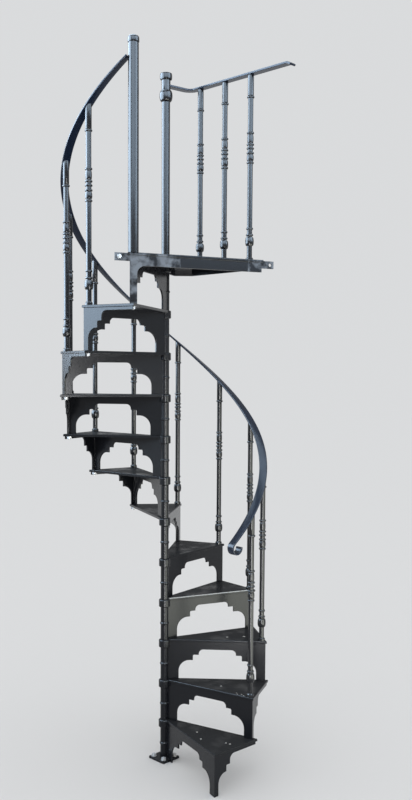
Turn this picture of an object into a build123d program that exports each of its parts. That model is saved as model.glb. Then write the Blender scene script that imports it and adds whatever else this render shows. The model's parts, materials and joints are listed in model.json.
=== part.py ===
"""A cast-iron spiral staircase: eleven treads and a landing on a centre pole, with turned balusters.

The stair climbs anticlockwise seen from above. The origin is the centre of the base plate's
underside, +Z is up, and the straight outer edge of the landing faces -Y. Millimetres.
"""
from build123d import *
from math import atan2, cos, degrees, hypot, radians, sin
import os

os.makedirs("parts", exist_ok=True)

# Driving dimensions of the whole stair
rise = 200.0
tread_count = 11
step_angle = 28.6
corner_radius = 502.0
landing_rise = 218.0
landing_angle = 81.5

# Plates and webs of the castings
plate_thickness = 12.0
rear_lap = 30.0
rear_lap_at_hub = 20.0
web_thickness = 8.0
web_inset = 5.0
edge_round = 4.0

# Hubs on the centre pole
pole_radius = 13.0
hub_clearance = 0.3
sleeve_radius = 19.0
collar_radius = 27.5
collar_height = 40.0
collar_chamfer = 4.0
bead_radius = 22.0
bead_height = 12.0

# Stepped arch through a riser, as tiers of half width, height above the foot and corner rounding
arch_centre = 260.0
arch_tiers = ((190.0, 96.0, 55.0), (120.0, 123.0, 6.0), (91.0, 150.0, 22.0))

# Half arch through the string beside a leg, as tiers of start, height and corner rounding
string_tiers = ((32.0, 100.0, 46.0), (82.0, 130.0, 5.0), (105.0, 174.0, 26.0))

# Base plate
base_side = 106.0
base_thickness = 12.0
base_socket_floor = 4.0
base_turn = 20.0
base_hole_radius = 6.5
base_hole_circle = 100.0

# Landing, whose back edge passes behind the pole
back_edge_turn = 61.7
back_corner_along = 15.0
reach_past_pole = 112.0
fascia_depth = 56.0
fascia_leg = 46.0
fascia_round = 36.0
skirt_depth = 44.0
lug_length = 55.0
lug_height = 34.0
lug_thickness = 6.0
lug_hole_radius = 7.0
lug_hole_from_end = 18.0

# Balusters and post
baluster_height = 857.0
baluster_inset = 27.0
baluster_setback = 18.0
seat_gap = 0.5
landing_baluster_height = 828.0
landing_baluster_count = 3
landing_baluster_spacing = 160.0
landing_baluster_from_corner = 64.0
post_radius = 23.0
post_wall = 5.0
post_inset = 32.0
post_setback = 14.0
post_above_rail = 30.0
post_groove_depth = 2.0
post_groove_height = 6.0
post_cap_radius = 25.0
post_cap_side = 20.0
post_cap_dome = 11.0

# Handrails
rail_width = 38.0
rail_thickness = 9.0
rail_after_first = 13.0
rail_gap = 0.3
curl_radius = 27.0
curl_angle = 200.0
landing_rail_bend_along = 20.0
landing_rail_bend_radius = 40.0
landing_rail_overhang = 150.0
landing_curl_radius = 40.0
landing_curl_angle = 45.0

# Newel above the landing, and its turned head as steps of height and radius
newel_radius = 19.5
newel_tube_height = 757.0
newel_neck_radius = 21.0
newel_bulb_radius = 31.0
newel_bulb_foot = (6.0, 24.0)
newel_bulb_top = (52.0, 24.0)
newel_head_foot = ((0.0, 19.5), (3.0, 23.0))
newel_head_top = (
    (56.0, newel_neck_radius), (101.0, newel_neck_radius), (105.0, 27.0), (109.0, 29.0),
    (127.0, 29.0), (134.0, 25.0), (137.0, 18.0), (137.0, 0.0),
)

# Values that follow from the driving dimensions
post_azimuth = -90.0 - landing_angle / 2
first_azimuth = post_azimuth - tread_count * step_angle
landing_level = rise * tread_count + landing_rise
landing_place = Location((0, 0, landing_level), (0, 0, post_azimuth))
hub_bore = pole_radius + hub_clearance
rise_per_degree = rise / step_angle
web_depth = web_inset + web_thickness


def nosing_azimuth(number):
    """Azimuth of a tread's nosing, with the first tread as 1 and the landing after the last."""
    return first_azimuth + (number - 1) * step_angle


def rear_corner(turn, lap):
    """Outer rear corner of a plate that reaches a lap beyond its turn, on the straight outer edge."""
    along = 2 * corner_radius * sin(radians(turn) / 2)
    reach = along * (1 + lap / (corner_radius * sin(radians(turn))))
    slope = radians(90 + turn / 2)
    return corner_radius + reach * cos(slope), reach * sin(slope)


def rear_inner_corner(turn, lap):
    """Inner rear corner of such a plate, beside the pole's axis."""
    return -lap * sin(radians(turn)), lap * cos(radians(turn))


def outer_edge_plane(turn, depth):
    """Upright plane a depth inside a straight outer edge, from its front corner, facing outwards."""
    outward = Vector(cos(radians(turn / 2)), sin(radians(turn / 2)), 0)
    along = Vector(-sin(radians(turn / 2)), cos(radians(turn / 2)), 0)
    return Plane(origin=Vector(corner_radius, 0, 0) - outward * depth, x_dir=along, z_dir=outward)


def hub_section(foot, top):
    """Half section of a tread's hub in the XZ plane: sleeve, bead and collar."""
    bead = (foot + top - collar_height) / 2
    Polyline(
        (0, foot),
        (sleeve_radius, foot),
        (sleeve_radius, bead - bead_height / 2),
        (bead_radius, bead - bead_height / 4),
        (bead_radius, bead + bead_height / 4),
        (sleeve_radius, bead + bead_height / 2),
        (sleeve_radius, top - collar_height),
        (collar_radius, top - collar_height + collar_chamfer),
        (collar_radius, top - collar_chamfer),
        (collar_radius - collar_chamfer, top),
        (0, top),
        close=True,
    )


front_plane = Plane(origin=(0, web_inset, 0), x_dir=(-1, 0, 0), z_dir=(0, 1, 0))
level_tolerance = 0.1


def shoulders(sketch, level):
    """Corners of a sketch at a level, from left to right."""
    found = sketch.vertices().filter_by_position(Axis.Y, level - level_tolerance, level + level_tolerance)
    return found.sort_by(Axis.X)


def draw_riser(height):
    """Riser web on the front plane, with its stepped arch. The plane's x runs inwards."""
    with BuildSketch(front_plane) as riser:
        with Locations((0, -plate_thickness)):
            Rectangle(corner_radius, height - plate_thickness, align=(Align.MAX, Align.MAX))
        for half_width, tier_height, _ in arch_tiers:
            with Locations((-arch_centre, -height)):
                Rectangle(2 * half_width, tier_height, align=(Align.CENTER, Align.MIN), mode=Mode.SUBTRACT)
        for _, tier_height, rounding in arch_tiers:
            corners = shoulders(riser, tier_height - height)
            fillet([corners[0], corners[-1]], rounding)
    extrude(riser.sketch, amount=web_thickness)


def trim_webs(outline, height):
    """Keep of the webs only what stands back from the edges of the plate above."""
    with BuildSketch(Plane.XY.offset(-height)) as kept:
        with BuildLine():
            Polyline(*outline, close=True)
        make_face()
        offset(amount=-web_inset, kind=Kind.INTERSECTION)
    extrude(kept.sketch, amount=height, mode=Mode.INTERSECT)


def draw_plate(outline):
    """Plate of a casting, with a rounded arris on its top along the front and the outer edge."""
    with BuildSketch(Plane.XY.offset(-plate_thickness)) as face:
        with BuildLine():
            Polyline(*outline, close=True)
        make_face()
    plate = extrude(face.sketch, amount=plate_thickness)
    top_edges = plate.edges().group_by(Axis.Z)[-1]
    fillet(top_edges.sort_by(lambda edge: edge.distance_to(outline[1]))[:2], edge_round)


def draw_hub(height):
    """Hub of a casting: a sleeve with a bead, and a collar at the plate."""
    with BuildSketch(Plane.XZ) as section:
        with BuildLine():
            hub_section(-height, 0)
        make_face()
    revolve(section.sketch, axis=Axis.Z)
    with Locations((0, 0, -height / 2)):
        Cylinder(hub_bore, height, mode=Mode.SUBTRACT)


# Tread casting, drawn once with its nosing along +X and its top at z = 0
rear_outer = rear_corner(step_angle, rear_lap)
tread_outline = [(0, 0), (corner_radius, 0), rear_outer, rear_inner_corner(step_angle, rear_lap_at_hub)]
edge_length = hypot(rear_outer[0] - corner_radius, rear_outer[1])

with BuildPart() as tread_webs:
    draw_riser(rise)
    with BuildSketch(outer_edge_plane(step_angle, web_depth)) as string:
        with Locations((0, -plate_thickness)):
            Rectangle(edge_length, rise - plate_thickness, align=(Align.MIN, Align.MAX))
        for start, tier_height, _ in string_tiers:
            with Locations((start, -rise)):
                Rectangle(edge_length, tier_height, align=(Align.MIN, Align.MIN), mode=Mode.SUBTRACT)
        for _, tier_height, rounding in string_tiers:
            fillet(shoulders(string, tier_height - rise)[0], rounding)
    extrude(string.sketch, amount=web_thickness)
    trim_webs(tread_outline, rise)

with BuildPart() as casting:
    draw_plate(tread_outline)
    add(tread_webs.part)
    draw_hub(rise)

for number in range(1, tread_count + 1):
    with BuildPart() as tread:
        with Locations(Location((0, 0, number * rise), (0, 0, nosing_azimuth(number)))):
            add(casting.part)
        if number == 1:
            with BuildSketch(Plane.XY):
                Rectangle(base_side, base_side, rotation=base_turn)
            extrude(amount=base_thickness, mode=Mode.SUBTRACT)
    tread.part.label = f"tread_{number:02d}"
    export_step(tread.part, f"parts/{tread.part.label}.step")

# Landing casting: the last riser with its leg, a straight fascia outside and a skirt under the plate
back_along = Vector(cos(radians(back_edge_turn)), sin(radians(back_edge_turn)), 0)
back_outward = Vector(-sin(radians(back_edge_turn)), cos(radians(back_edge_turn)), 0)
back_offset = corner_radius * sin(radians(landing_angle - back_edge_turn))
back_edge_end = corner_radius * cos(radians(landing_angle - back_edge_turn))
landing_edge = 2 * corner_radius * sin(radians(landing_angle) / 2)


def back_point(inset, along):
    """Point a distance inside the landing's back edge, and a distance along it from beside the pole."""
    return back_outward * (back_offset - inset) + back_along * along


landing_outline = [
    Vector(-reach_past_pole, 0, 0),
    Vector(corner_radius, 0, 0),
    back_point(0, back_edge_end),
    back_point(0, back_corner_along),
]

with BuildPart() as landing_webs:
    draw_riser(landing_rise)
    with BuildSketch(outer_edge_plane(landing_angle, web_depth)) as fascia:
        with Locations((0, -plate_thickness)):
            Rectangle(landing_edge, landing_rise - plate_thickness, align=(Align.MIN, Align.MAX))
        with Locations((fascia_leg, -landing_rise)):
            open_height = landing_rise - fascia_depth
            Rectangle(landing_edge, open_height, align=(Align.MIN, Align.MIN), mode=Mode.SUBTRACT)
        fillet(shoulders(fascia, -fascia_depth)[0], fascia_round)
    extrude(fascia.sketch, amount=web_thickness)
    with BuildSketch(Plane.XY.offset(-skirt_depth)) as skirt:
        with BuildLine():
            Polyline(*landing_outline, close=True)
        make_face()
        offset(amount=-web_depth, kind=Kind.INTERSECTION, mode=Mode.SUBTRACT)
    extrude(skirt.sketch, amount=skirt_depth - plate_thickness)
    trim_webs(landing_outline, landing_rise)

lug_reach = lug_length + web_depth
lug_overlap = web_thickness
lug_middle = -edge_round - lug_height / 2

with BuildPart() as landing_casting:
    draw_plate(landing_outline)
    add(landing_webs.part)
    for corner_at, outwards in ((web_depth, -1), (landing_edge - web_depth, 1)):
        with BuildSketch(outer_edge_plane(landing_angle, web_depth)) as lug:
            with Locations((corner_at + outwards * (lug_reach - lug_overlap) / 2, lug_middle)):
                Rectangle(lug_reach + lug_overlap, lug_height)
            with Locations((corner_at + outwards * (lug_reach - lug_hole_from_end), lug_middle)):
                Circle(lug_hole_radius, mode=Mode.SUBTRACT)
        extrude(lug.sketch, amount=lug_thickness)
    draw_hub(landing_rise)

with BuildPart() as landing:
    with Locations(landing_place):
        add(landing_casting.part)
landing.part.label = "landing"
export_step(landing.part, "parts/landing.step")

# Base plate with a blind socket for the pole, and the pole
with BuildPart() as base_plate:
    with BuildSketch(Plane.XY) as plate:
        Rectangle(base_side, base_side, rotation=base_turn)
        with PolarLocations(base_hole_circle / 2, 4, start_angle=base_turn + 45):
            Circle(base_hole_radius, mode=Mode.SUBTRACT)
    extrude(plate.sketch, amount=base_thickness)
    with BuildSketch(Plane.XY.offset(base_socket_floor)) as socket:
        Circle(hub_bore)
    extrude(socket.sketch, amount=base_thickness, mode=Mode.SUBTRACT)
base_plate.part.label = "base_plate"
export_step(base_plate.part, "parts/base_plate.step")

newel_tube_top = landing_level + newel_tube_height
with BuildPart() as centre_pole:
    with BuildSketch(Plane.XY.offset(base_socket_floor)) as pole:
        Circle(pole_radius)
    extrude(pole.sketch, amount=newel_tube_top - base_socket_floor)
centre_pole.part.label = "centre_pole"
export_step(centre_pole.part, "parts/centre_pole.step")

# Newel above the landing: a plain tube, and a turned head with a bulb and a cap
with BuildPart() as newel_tube:
    with BuildSketch(Plane.XY.offset(landing_level)) as ring:
        Circle(newel_radius)
        Circle(hub_bore, mode=Mode.SUBTRACT)
    extrude(ring.sketch, amount=newel_tube_height)
newel_tube.part.label = "newel_tube"
export_step(newel_tube.part, "parts/newel_tube.step")

with BuildPart() as newel_head:
    with BuildSketch(Plane(origin=(0, 0, newel_tube_top), x_dir=(1, 0, 0), z_dir=(0, -1, 0))) as section:
        with BuildLine():
            bulb_foot = (newel_bulb_foot[1], newel_bulb_foot[0])
            bulb_top = (newel_bulb_top[1], newel_bulb_top[0])
            Polyline((0, 0), *[(radius, height) for height, radius in newel_head_foot], bulb_foot)
            ThreePointArc(bulb_foot, (newel_bulb_radius, (bulb_foot[1] + bulb_top[1]) / 2), bulb_top)
            Polyline(bulb_top, *[(radius, height) for height, radius in newel_head_top], (0, 0))
        make_face()
    revolve(section.sketch, axis=Axis.Z)
newel_head.part.label = "newel_head"
export_step(newel_head.part, "parts/newel_head.step")


# Turned baluster as rings along its length: (share of the height from the foot, radius)
baluster_turning = (
    (0.0, 17.0), (0.012, 17.0), (0.016, 13.0), (0.08, 12.5), (0.088, 15.0), (0.103, 20.0),
    (0.118, 15.5), (0.127, 12.5), (0.133, 16.5), (0.143, 16.5), (0.147, 12.5), (0.164, 12.5),
    (0.168, 16.0), (0.178, 16.0), (0.182, 12.0), (0.521, 12.0), (0.525, 16.5), (0.534, 16.5),
    (0.538, 12.5), (0.556, 16.0), (0.573, 13.0), (0.577, 17.0), (0.587, 17.0), (0.591, 12.5),
    (0.599, 12.5), (0.602, 17.0), (0.611, 17.0), (0.615, 12.5), (0.623, 17.0), (0.632, 17.0),
    (0.636, 12.5), (0.658, 14.5), (0.681, 12.5), (0.685, 16.5), (0.695, 16.5), (0.699, 12.0),
    (0.873, 12.0), (0.877, 17.0), (0.887, 17.0), (0.891, 14.0), (1.0, 14.0),
)

rail_radius = hypot(corner_radius - baluster_inset, baluster_setback)
baluster_lead = degrees(atan2(baluster_setback, corner_radius - baluster_inset))
rail_slope = rise_per_degree / (rail_radius * radians(1))
rail_lift = rail_thickness / 2 * hypot(1, rail_slope)


def around(radius, azimuth, level):
    """Point at a radius, an azimuth and a level about the pole."""
    return Vector(radius * cos(radians(azimuth)), radius * sin(radians(azimuth)), level)


def rail_level(azimuth):
    """Level of the winding handrail's middle."""
    return (azimuth - first_azimuth - baluster_lead) * rise_per_degree + rise + baluster_height + rail_lift


def draw_baluster(height, extra):
    """Turned baluster on the origin, with its neck lengthened by an extra for a sloping seat."""
    with BuildSketch(Plane.XZ) as section:
        with BuildLine():
            outline = [(radius, share * height) for share, radius in baluster_turning]
            neck = outline[-1][0]
            Polyline((0, 0), *outline[:-1], (neck, height + extra), (0, height + extra), close=True)
        make_face()
    revolve(section.sketch, axis=Axis.Z)


# Stair baluster, drawn once in the frame of its tread, with its top cut to the slope of the rail
with BuildPart() as turned_for_stair:
    draw_baluster(baluster_height, 2 * baluster_turning[-1][1])
with BuildPart() as stair_baluster:
    with Locations((corner_radius - baluster_inset, baluster_setback, 0)):
        add(turned_for_stair.part)
    uphill = Vector(-sin(radians(baluster_lead)), cos(radians(baluster_lead)), 0)
    seat = Vector(corner_radius - baluster_inset, baluster_setback, baluster_height - seat_gap)
    split(bisect_by=Plane(origin=seat, z_dir=Vector(0, 0, 1) - uphill * rail_slope), keep=Keep.BOTTOM)

for number in range(2, tread_count + 1):
    with BuildPart() as baluster:
        with Locations(Location((0, 0, number * rise), (0, 0, nosing_azimuth(number)))):
            add(stair_baluster.part)
    baluster.part.label = f"baluster_{number:02d}"
    export_step(baluster.part, f"parts/{baluster.part.label}.step")

# Landing balusters, in a straight line along the landing's back edge
with BuildPart() as turned_for_landing:
    draw_baluster(landing_baluster_height, 0)

for number in range(1, landing_baluster_count + 1):
    from_corner = landing_baluster_from_corner + (landing_baluster_count - number) * landing_baluster_spacing
    with BuildPart() as landing_baluster:
        with Locations(landing_place * Location(back_point(baluster_inset, back_edge_end - from_corner))):
            add(turned_for_landing.part)
    landing_baluster.part.label = f"landing_baluster_{number}"
    export_step(landing_baluster.part, f"parts/{landing_baluster.part.label}.step")

# Plain post at the landing's front corner, with its cap
post_lead = degrees(atan2(post_setback, corner_radius - post_inset))
post_height = rail_level(post_azimuth + post_lead) + post_above_rail - landing_level
post_place = landing_place * Location((corner_radius - post_inset, post_setback, 0))

with BuildPart() as post_tube:
    with BuildSketch(Plane.XY) as ring:
        Circle(post_radius)
        Circle(post_radius - post_wall, mode=Mode.SUBTRACT)
    extrude(ring.sketch, amount=post_height)
with BuildPart() as landing_post:
    with Locations(post_place):
        add(post_tube.part)
landing_post.part.label = "landing_post"
export_step(landing_post.part, "parts/landing_post.step")

with BuildPart() as post_cap:
    with BuildSketch(Plane.XZ) as section:
        with BuildLine():
            groove = post_radius - post_groove_depth
            side_top = post_groove_height + post_cap_side
            Polyline(
                (0, side_top + post_cap_dome),
                (0, 0),
                (groove, 0),
                (groove, post_groove_height),
                (post_cap_radius, post_groove_height),
                (post_cap_radius, side_top),
            )
            dome_radius = (post_cap_radius**2 + post_cap_dome**2) / (2 * post_cap_dome)
            RadiusArc((post_cap_radius, side_top), (0, side_top + post_cap_dome), -dome_radius)
        make_face()
    revolve(section.sketch, axis=Axis.Z)
with BuildPart() as landing_post_cap:
    with Locations(post_place * Location((0, 0, post_height))):
        add(post_cap.part)
landing_post_cap.part.label = "landing_post_cap"
export_step(landing_post_cap.part, "parts/landing_post_cap.step")


# Handrail: a flat bar that winds over the balusters, in lengths that meet over balusters
def rail_directions(azimuth):
    """Outward direction and uphill tangent of the winding bar at an azimuth."""
    outward = around(1, azimuth, 0)
    tangent = Vector(-sin(radians(azimuth)), cos(radians(azimuth)), rail_slope).normalized()
    return outward, tangent


def winding_bar(start, finish):
    """Flat bar wound about the pole between two azimuths."""
    outward, tangent = rail_directions(start)
    with BuildLine() as path:
        Helix(rise_per_degree * 360, rise_per_degree * (finish - start), rail_radius)
    course = path.line.moved(Location((0, 0, rail_level(start)), (0, 0, start)))
    first_point = around(rail_radius, start, rail_level(start))
    with BuildSketch(Plane(origin=first_point, x_dir=outward, z_dir=tangent)) as bar:
        Rectangle(rail_width, rail_thickness)
    sweep(bar.sketch, path=course, is_frenet=True)


def curled_end(plane, radius, angle):
    """Scroll that continues a flat bar: the plane's x leads on from the bar and y is its inner side."""
    with BuildSketch(plane) as scroll:
        with BuildLine():
            outer = CenterArc((0, radius), radius + rail_thickness / 2, -90, angle)
            inner = CenterArc((0, radius), radius - rail_thickness / 2, -90, angle)
            Line(outer @ 0, inner @ 0)
            Line(outer @ 1, inner @ 1)
        make_face()
    extrude(scroll.sketch, amount=rail_width / 2, both=True)


rail_start = first_azimuth + rail_after_first
lower_joint = nosing_azimuth(5) + baluster_lead
upper_joint = nosing_azimuth(9) + baluster_lead

with BuildPart() as handrail_lower:
    winding_bar(rail_start, lower_joint)
    end_outward, end_tangent = rail_directions(rail_start)
    end_point = around(rail_radius, rail_start, rail_level(rail_start))
    curled_end(Plane(origin=end_point, x_dir=-end_tangent, z_dir=end_outward), curl_radius, curl_angle)
handrail_lower.part.label = "handrail_lower"
export_step(handrail_lower.part, "parts/handrail_lower.step")

with BuildPart() as handrail_middle:
    winding_bar(lower_joint, upper_joint)
handrail_middle.part.label = "handrail_middle"
export_step(handrail_middle.part, "parts/handrail_middle.step")

with BuildPart() as handrail_upper:
    winding_bar(upper_joint, post_azimuth + post_lead)
    with Locations(post_place * Location((0, 0, post_height / 2))):
        Cylinder(post_radius + rail_gap, post_height, mode=Mode.SUBTRACT)
handrail_upper.part.label = "handrail_upper"
export_step(handrail_upper.part, "parts/handrail_upper.step")

# Landing rail: from the newel's neck over the landing balusters and past the corner, its end turned down
rail_tip = back_point(baluster_inset, back_edge_end + landing_rail_overhang)
rail_bend = back_point(baluster_inset, landing_rail_bend_along)
neck_cut_height = 4 * rail_thickness

with BuildPart() as level_bar:
    with BuildLine() as plan:
        FilletPolyline((0, 0), rail_bend, rail_tip, radius=landing_rail_bend_radius)
    with BuildSketch(Plane(origin=(0, 0, 0), x_dir=(0, 0, 1), z_dir=plan.line % 0)) as bar:
        Rectangle(rail_thickness, rail_width)
    sweep(bar.sketch, path=plan.line)
    curled_end(
        Plane(origin=rail_tip, x_dir=back_along, z_dir=back_outward), landing_curl_radius, landing_curl_angle
    )
    Cylinder(newel_neck_radius + rail_gap, neck_cut_height, mode=Mode.SUBTRACT)

with BuildPart() as landing_rail:
    with Locations(landing_place * Location((0, 0, landing_baluster_height + seat_gap + rail_thickness / 2))):
        add(level_bar.part)
landing_rail.part.label = "landing_rail"
export_step(landing_rail.part, "parts/landing_rail.step")
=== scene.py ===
"""Looks of a cast-iron spiral staircase: glossy castings, turned balusters, flat handrail and fixings."""

import json
from functools import cache
from math import atan2, cos, hypot, pi, radians, sin, sqrt, tau

import bmesh
import bpy
from bpy.props import FloatProperty, FloatVectorProperty, PointerProperty
from mathutils import Matrix, Vector


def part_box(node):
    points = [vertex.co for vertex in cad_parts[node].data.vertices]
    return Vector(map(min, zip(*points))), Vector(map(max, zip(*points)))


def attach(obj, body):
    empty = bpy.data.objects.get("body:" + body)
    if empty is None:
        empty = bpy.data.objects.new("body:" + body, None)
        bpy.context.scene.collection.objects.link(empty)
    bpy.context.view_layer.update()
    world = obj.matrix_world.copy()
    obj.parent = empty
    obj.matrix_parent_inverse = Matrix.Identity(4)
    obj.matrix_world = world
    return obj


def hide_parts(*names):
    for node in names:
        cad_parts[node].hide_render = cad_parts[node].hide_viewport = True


bl_info = {
    "name": "Spiral Staircase Looks",
    "version": (1, 0, 0),
    "blender": (4, 5, 0),
    "location": "3D View > Sidebar > Staircase",
    "description": "Dresses the packed staircase with cast, turned and painted finishes",
    "category": "Object",
}

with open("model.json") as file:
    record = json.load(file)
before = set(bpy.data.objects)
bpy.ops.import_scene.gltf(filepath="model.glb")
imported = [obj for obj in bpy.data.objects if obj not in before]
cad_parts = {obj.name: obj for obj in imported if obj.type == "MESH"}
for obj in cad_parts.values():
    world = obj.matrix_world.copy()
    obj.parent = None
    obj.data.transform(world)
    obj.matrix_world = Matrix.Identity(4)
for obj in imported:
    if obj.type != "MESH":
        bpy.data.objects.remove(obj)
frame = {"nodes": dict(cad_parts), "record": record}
NODES = frame["nodes"]

TREADS = [f"tread_{number:02d}" for number in range(1, 12)]
STAIR_BALUSTERS = [f"baluster_{number:02d}" for number in range(2, 12)]
LANDING_BALUSTERS = [f"landing_baluster_{number}" for number in range(1, 4)]

# Half of a size in millimetres, in metres
HALF_MM = 0.0005

# The photograph's frame in pixels, and the camera's film across its longer side in millimetres
IMAGE_WIDTH, IMAGE_HEIGHT = 412, 800
SENSOR = 36

# Mouldings of a turned baluster: middle and half length as shares of its height, and radius in metres
BALUSTER_MOULDINGS = (
    (0.0065, 0.0055, 0.017), (0.103, 0.025, 0.02), (0.138, 0.006, 0.0168), (0.173, 0.006, 0.0162),
    (0.5295, 0.006, 0.0168), (0.556, 0.017, 0.0162), (0.582, 0.006, 0.0172), (0.6065, 0.006, 0.0172),
    (0.6275, 0.006, 0.0172), (0.658, 0.022, 0.0146), (0.69, 0.006, 0.0168), (0.882, 0.006, 0.0172),
)

# Radius of its neck, and foot of its sleeve as a share of its height with the sleeve's radius
BALUSTER_NECK = 0.0122
BALUSTER_SLEEVE = (0.891, 0.014)

# Sides of the turned pieces
BALUSTER_SIDES = 20
COLUMN_SIDES = 48

# Balusters, counted from the lowest as 1, over which the handrail's lengths meet
RAIL_JOINTS = (4, 8)

# Pale flecks: tread, distance from the pole, degrees past the nosing, radius
FLECKS = (
    (3, 0.311, 11.2, 0.006), (3, 0.396, 11.1, 0.0065), (2, 0.295, 12.6, 0.0055), (1, 0.236, 14.8, 0.005),
    (1, 0.313, 6.6, 0.005), (1, 0.423, 15.8, 0.0045), (1, 0.444, 16.4, 0.0055), (2, 0.4, 3.0, 0.0032),
    (2, 0.430, 2.2, 0.0036), (2, 0.462, 3.4, 0.0032), (2, 0.412, 1.2, 0.003), (2, 0.445, 1.0, 0.0034),
)

# Tread whose nosing carries the painted highlight, a pale line that stands in for light on its rounded arris
HIGHLIGHT_TREAD = 4

# Paints: colour, IOR and roughness of the gloss coat, scale and strength of the grain, reach and strength
# of the edge wear, strength of the dust, and the level of noise above which pale spots gather
CASTINGS_PAINT = "gloss paint on castings"
LANDING_PAINT = "gloss paint on the landing"
TUBES_PAINT = "gloss paint on tubes"
TURNED_PAINT = "gloss paint on turned iron"
RAIL_PAINT = "handled paint on flat bar"
PAINTS = {
    CASTINGS_PAINT: ("paint", 1.27, 0.22, 70, 0.15, 0.003, 0.35, 0.9, 0.78),
    LANDING_PAINT: ("paint", 1.27, 0.22, 70, 0.15, 0.003, 0.35, 0.9, 0.78),
    TUBES_PAINT: ("paint", 1.35, 0.16, 18, 0.02, 0.0008, 0.2, 0.5, 0.8),
    TURNED_PAINT: ("paint", 1.36, 0.18, 45, 0.03, 0.0008, 0.25, 0.5, 0.8),
    RAIL_PAINT: ("rail", 1.25, 0.2, 35, 0.06, 0.002, 0.4, 0.5, 0.82),
}

# Paint under its gloss coat: its IOR, its roughness from low to high tone, and what dust adds to that
UNDERCOAT_IOR = 1.1
UNDERCOAT_ROUGHNESS = (0.35, 0.50)
DUST_ROUGHNESS = 0.45

# Scale of a paint's fine grain against its broad grain, and depth of its relief in metres
FINE_GRAIN = 7
GRAIN_DEPTH = 0.001

# Levels between which a mask goes from none to full: agreement of the rounded normal with the face's own,
# slope of a face that looks up, distance to a spot's middle, and noise that breaks up wear, dust and the
# painted reflection on the landing's ends
WORN_AGREEMENT = (0.995, 0.93)
DUSTY_SLOPE = (0.4, 0.95)
SPOT_DISTANCE = (0.20, 0.12)
WORN_PATCHES = (0.45, 0.68)
DUSTY_PATCHES = (0.15, 0.50)
END_REFLECTION_PATCHES = (0.42, 0.60)

# Level of the normal's Y below which a face is the landing's edge, and scale of the noise that gathers spots
EDGE_FACING = -0.7
GATHERING_SCALE = 6

# Panels of light: name, degrees left of the camera, distance, height, width, length, radiance, tint, and
# whether matt faces are lit too
PANELS = (
    ("left panel", 85, 3.2, 3.5, 5.0, 3.4, 20.0, "sky", False),
    ("right panel", -60, 3.4, 4.4, 3.0, 3.0, 12.0, "sky", False),
    ("front panel", 0, 4.3, 5.0, 6.0, 3.4, 9.0, "sky", False),
    ("low panel", -50, 2.0, 1.0, 1.4, 2.0, 7.0, "ground", False),
    ("column panel", -6.5, 2.2, 1.1, 0.4, 2.0, 30.0, "cloud", False),
    ("top panel", 125, 1.2, 7.0, 5.0, 5.0, 9.0, "sky", False),
    ("soft front", 10, 4.3, 5.2, 3.0, 2.0, 1.2, "cloud", True),
)

FLOAT = "NodeSocketFloat"
INTEGER = "NodeSocketInt"
GEOMETRY = "NodeSocketGeometry"


class StairSizes(bpy.types.PropertyGroup):
    """Sizes of the stair that the frame's boxes don't give"""

    rise: FloatProperty(name="Rise", description="Height of one step", default=0.2, unit="LENGTH")
    step_angle: FloatProperty(
        name="Step Angle", description="Turn from one tread to the next",
        default=radians(28.6), subtype="ANGLE",
    )
    corner_radius: FloatProperty(
        name="Corner Radius", description="Pole to a tread's front corner", default=0.502, unit="LENGTH",
    )
    landing_angle: FloatProperty(
        name="Landing Angle", description="Turn of the landing", default=radians(81.5), subtype="ANGLE",
    )
    base_turn: FloatProperty(
        name="Base Turn", description="Turn of the base plate", default=radians(20), subtype="ANGLE",
    )
    plate: FloatProperty(name="Plate", description="Thickness of the treads", default=0.012, unit="LENGTH")
    edge_round: FloatProperty(name="Edge", description="Rounding of nosings", default=0.004, unit="LENGTH")
    arris: FloatProperty(name="Arris", description="Rounding of cast edges", default=0.0012, unit="LENGTH")


class RailSizes(bpy.types.PropertyGroup):
    """Sizes of the handrails"""

    width: FloatProperty(name="Width", description="Width of the flat bar", default=0.038, unit="LENGTH")
    thickness: FloatProperty(name="Thickness", description="Height of the bar", default=0.009, unit="LENGTH")
    rounding: FloatProperty(name="Rounding", description="Radius of its edges", default=0.003, unit="LENGTH")
    clearance: FloatProperty(name="Clearance", description="Above balusters", default=0.0005, unit="LENGTH")
    after_first: FloatProperty(
        name="Start", description="Turn from the first nosing to the rail's end",
        default=radians(13), subtype="ANGLE",
    )
    curl_radius: FloatProperty(
        name="Curl Radius", description="Radius of the lower scroll", default=0.027, unit="LENGTH",
    )
    curl_angle: FloatProperty(
        name="Curl Angle", description="Turn of the lower scroll", default=radians(235), subtype="ANGLE",
    )


class FixingSizes(bpy.types.PropertyGroup):
    """Sizes and places of nuts and bolts"""

    nut_radius: FloatProperty(name="Nut", description="Centre to corner", default=0.012, unit="LENGTH")
    nut_height: FloatProperty(name="Nut Height", description="Height of nuts", default=0.009, unit="LENGTH")
    washer_radius: FloatProperty(
        name="Washer Radius", description="Radius of a washer", default=0.0135, unit="LENGTH",
    )
    lug_nut: FloatProperty(
        name="Lug Nut", description="Centre to corner of a lug's nut", default=0.0095, unit="LENGTH",
    )
    shank: FloatProperty(name="Shank", description="Bolt's end past its nut", default=0.003, unit="LENGTH")
    inward: FloatProperty(name="Inward", description="Tread's corner to nut", default=0.02, unit="LENGTH")
    behind: FloatProperty(name="Behind", description="Nosing's line to nut", default=0.016, unit="LENGTH")


class HighlightLineSizes(bpy.types.PropertyGroup):
    """Sizes of the painted highlight line on one nosing"""

    line_start: FloatProperty(name="Start", description="From the pole's axis", default=0.02, unit="LENGTH")
    line_end: FloatProperty(name="End", description="From the pole's axis", default=0.485, unit="LENGTH")
    line_width: FloatProperty(name="Width", description="Across the arris", default=0.005, unit="LENGTH")
    line_depth: FloatProperty(name="Depth", description="Half of it is sunk", default=0.0008, unit="LENGTH")


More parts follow.
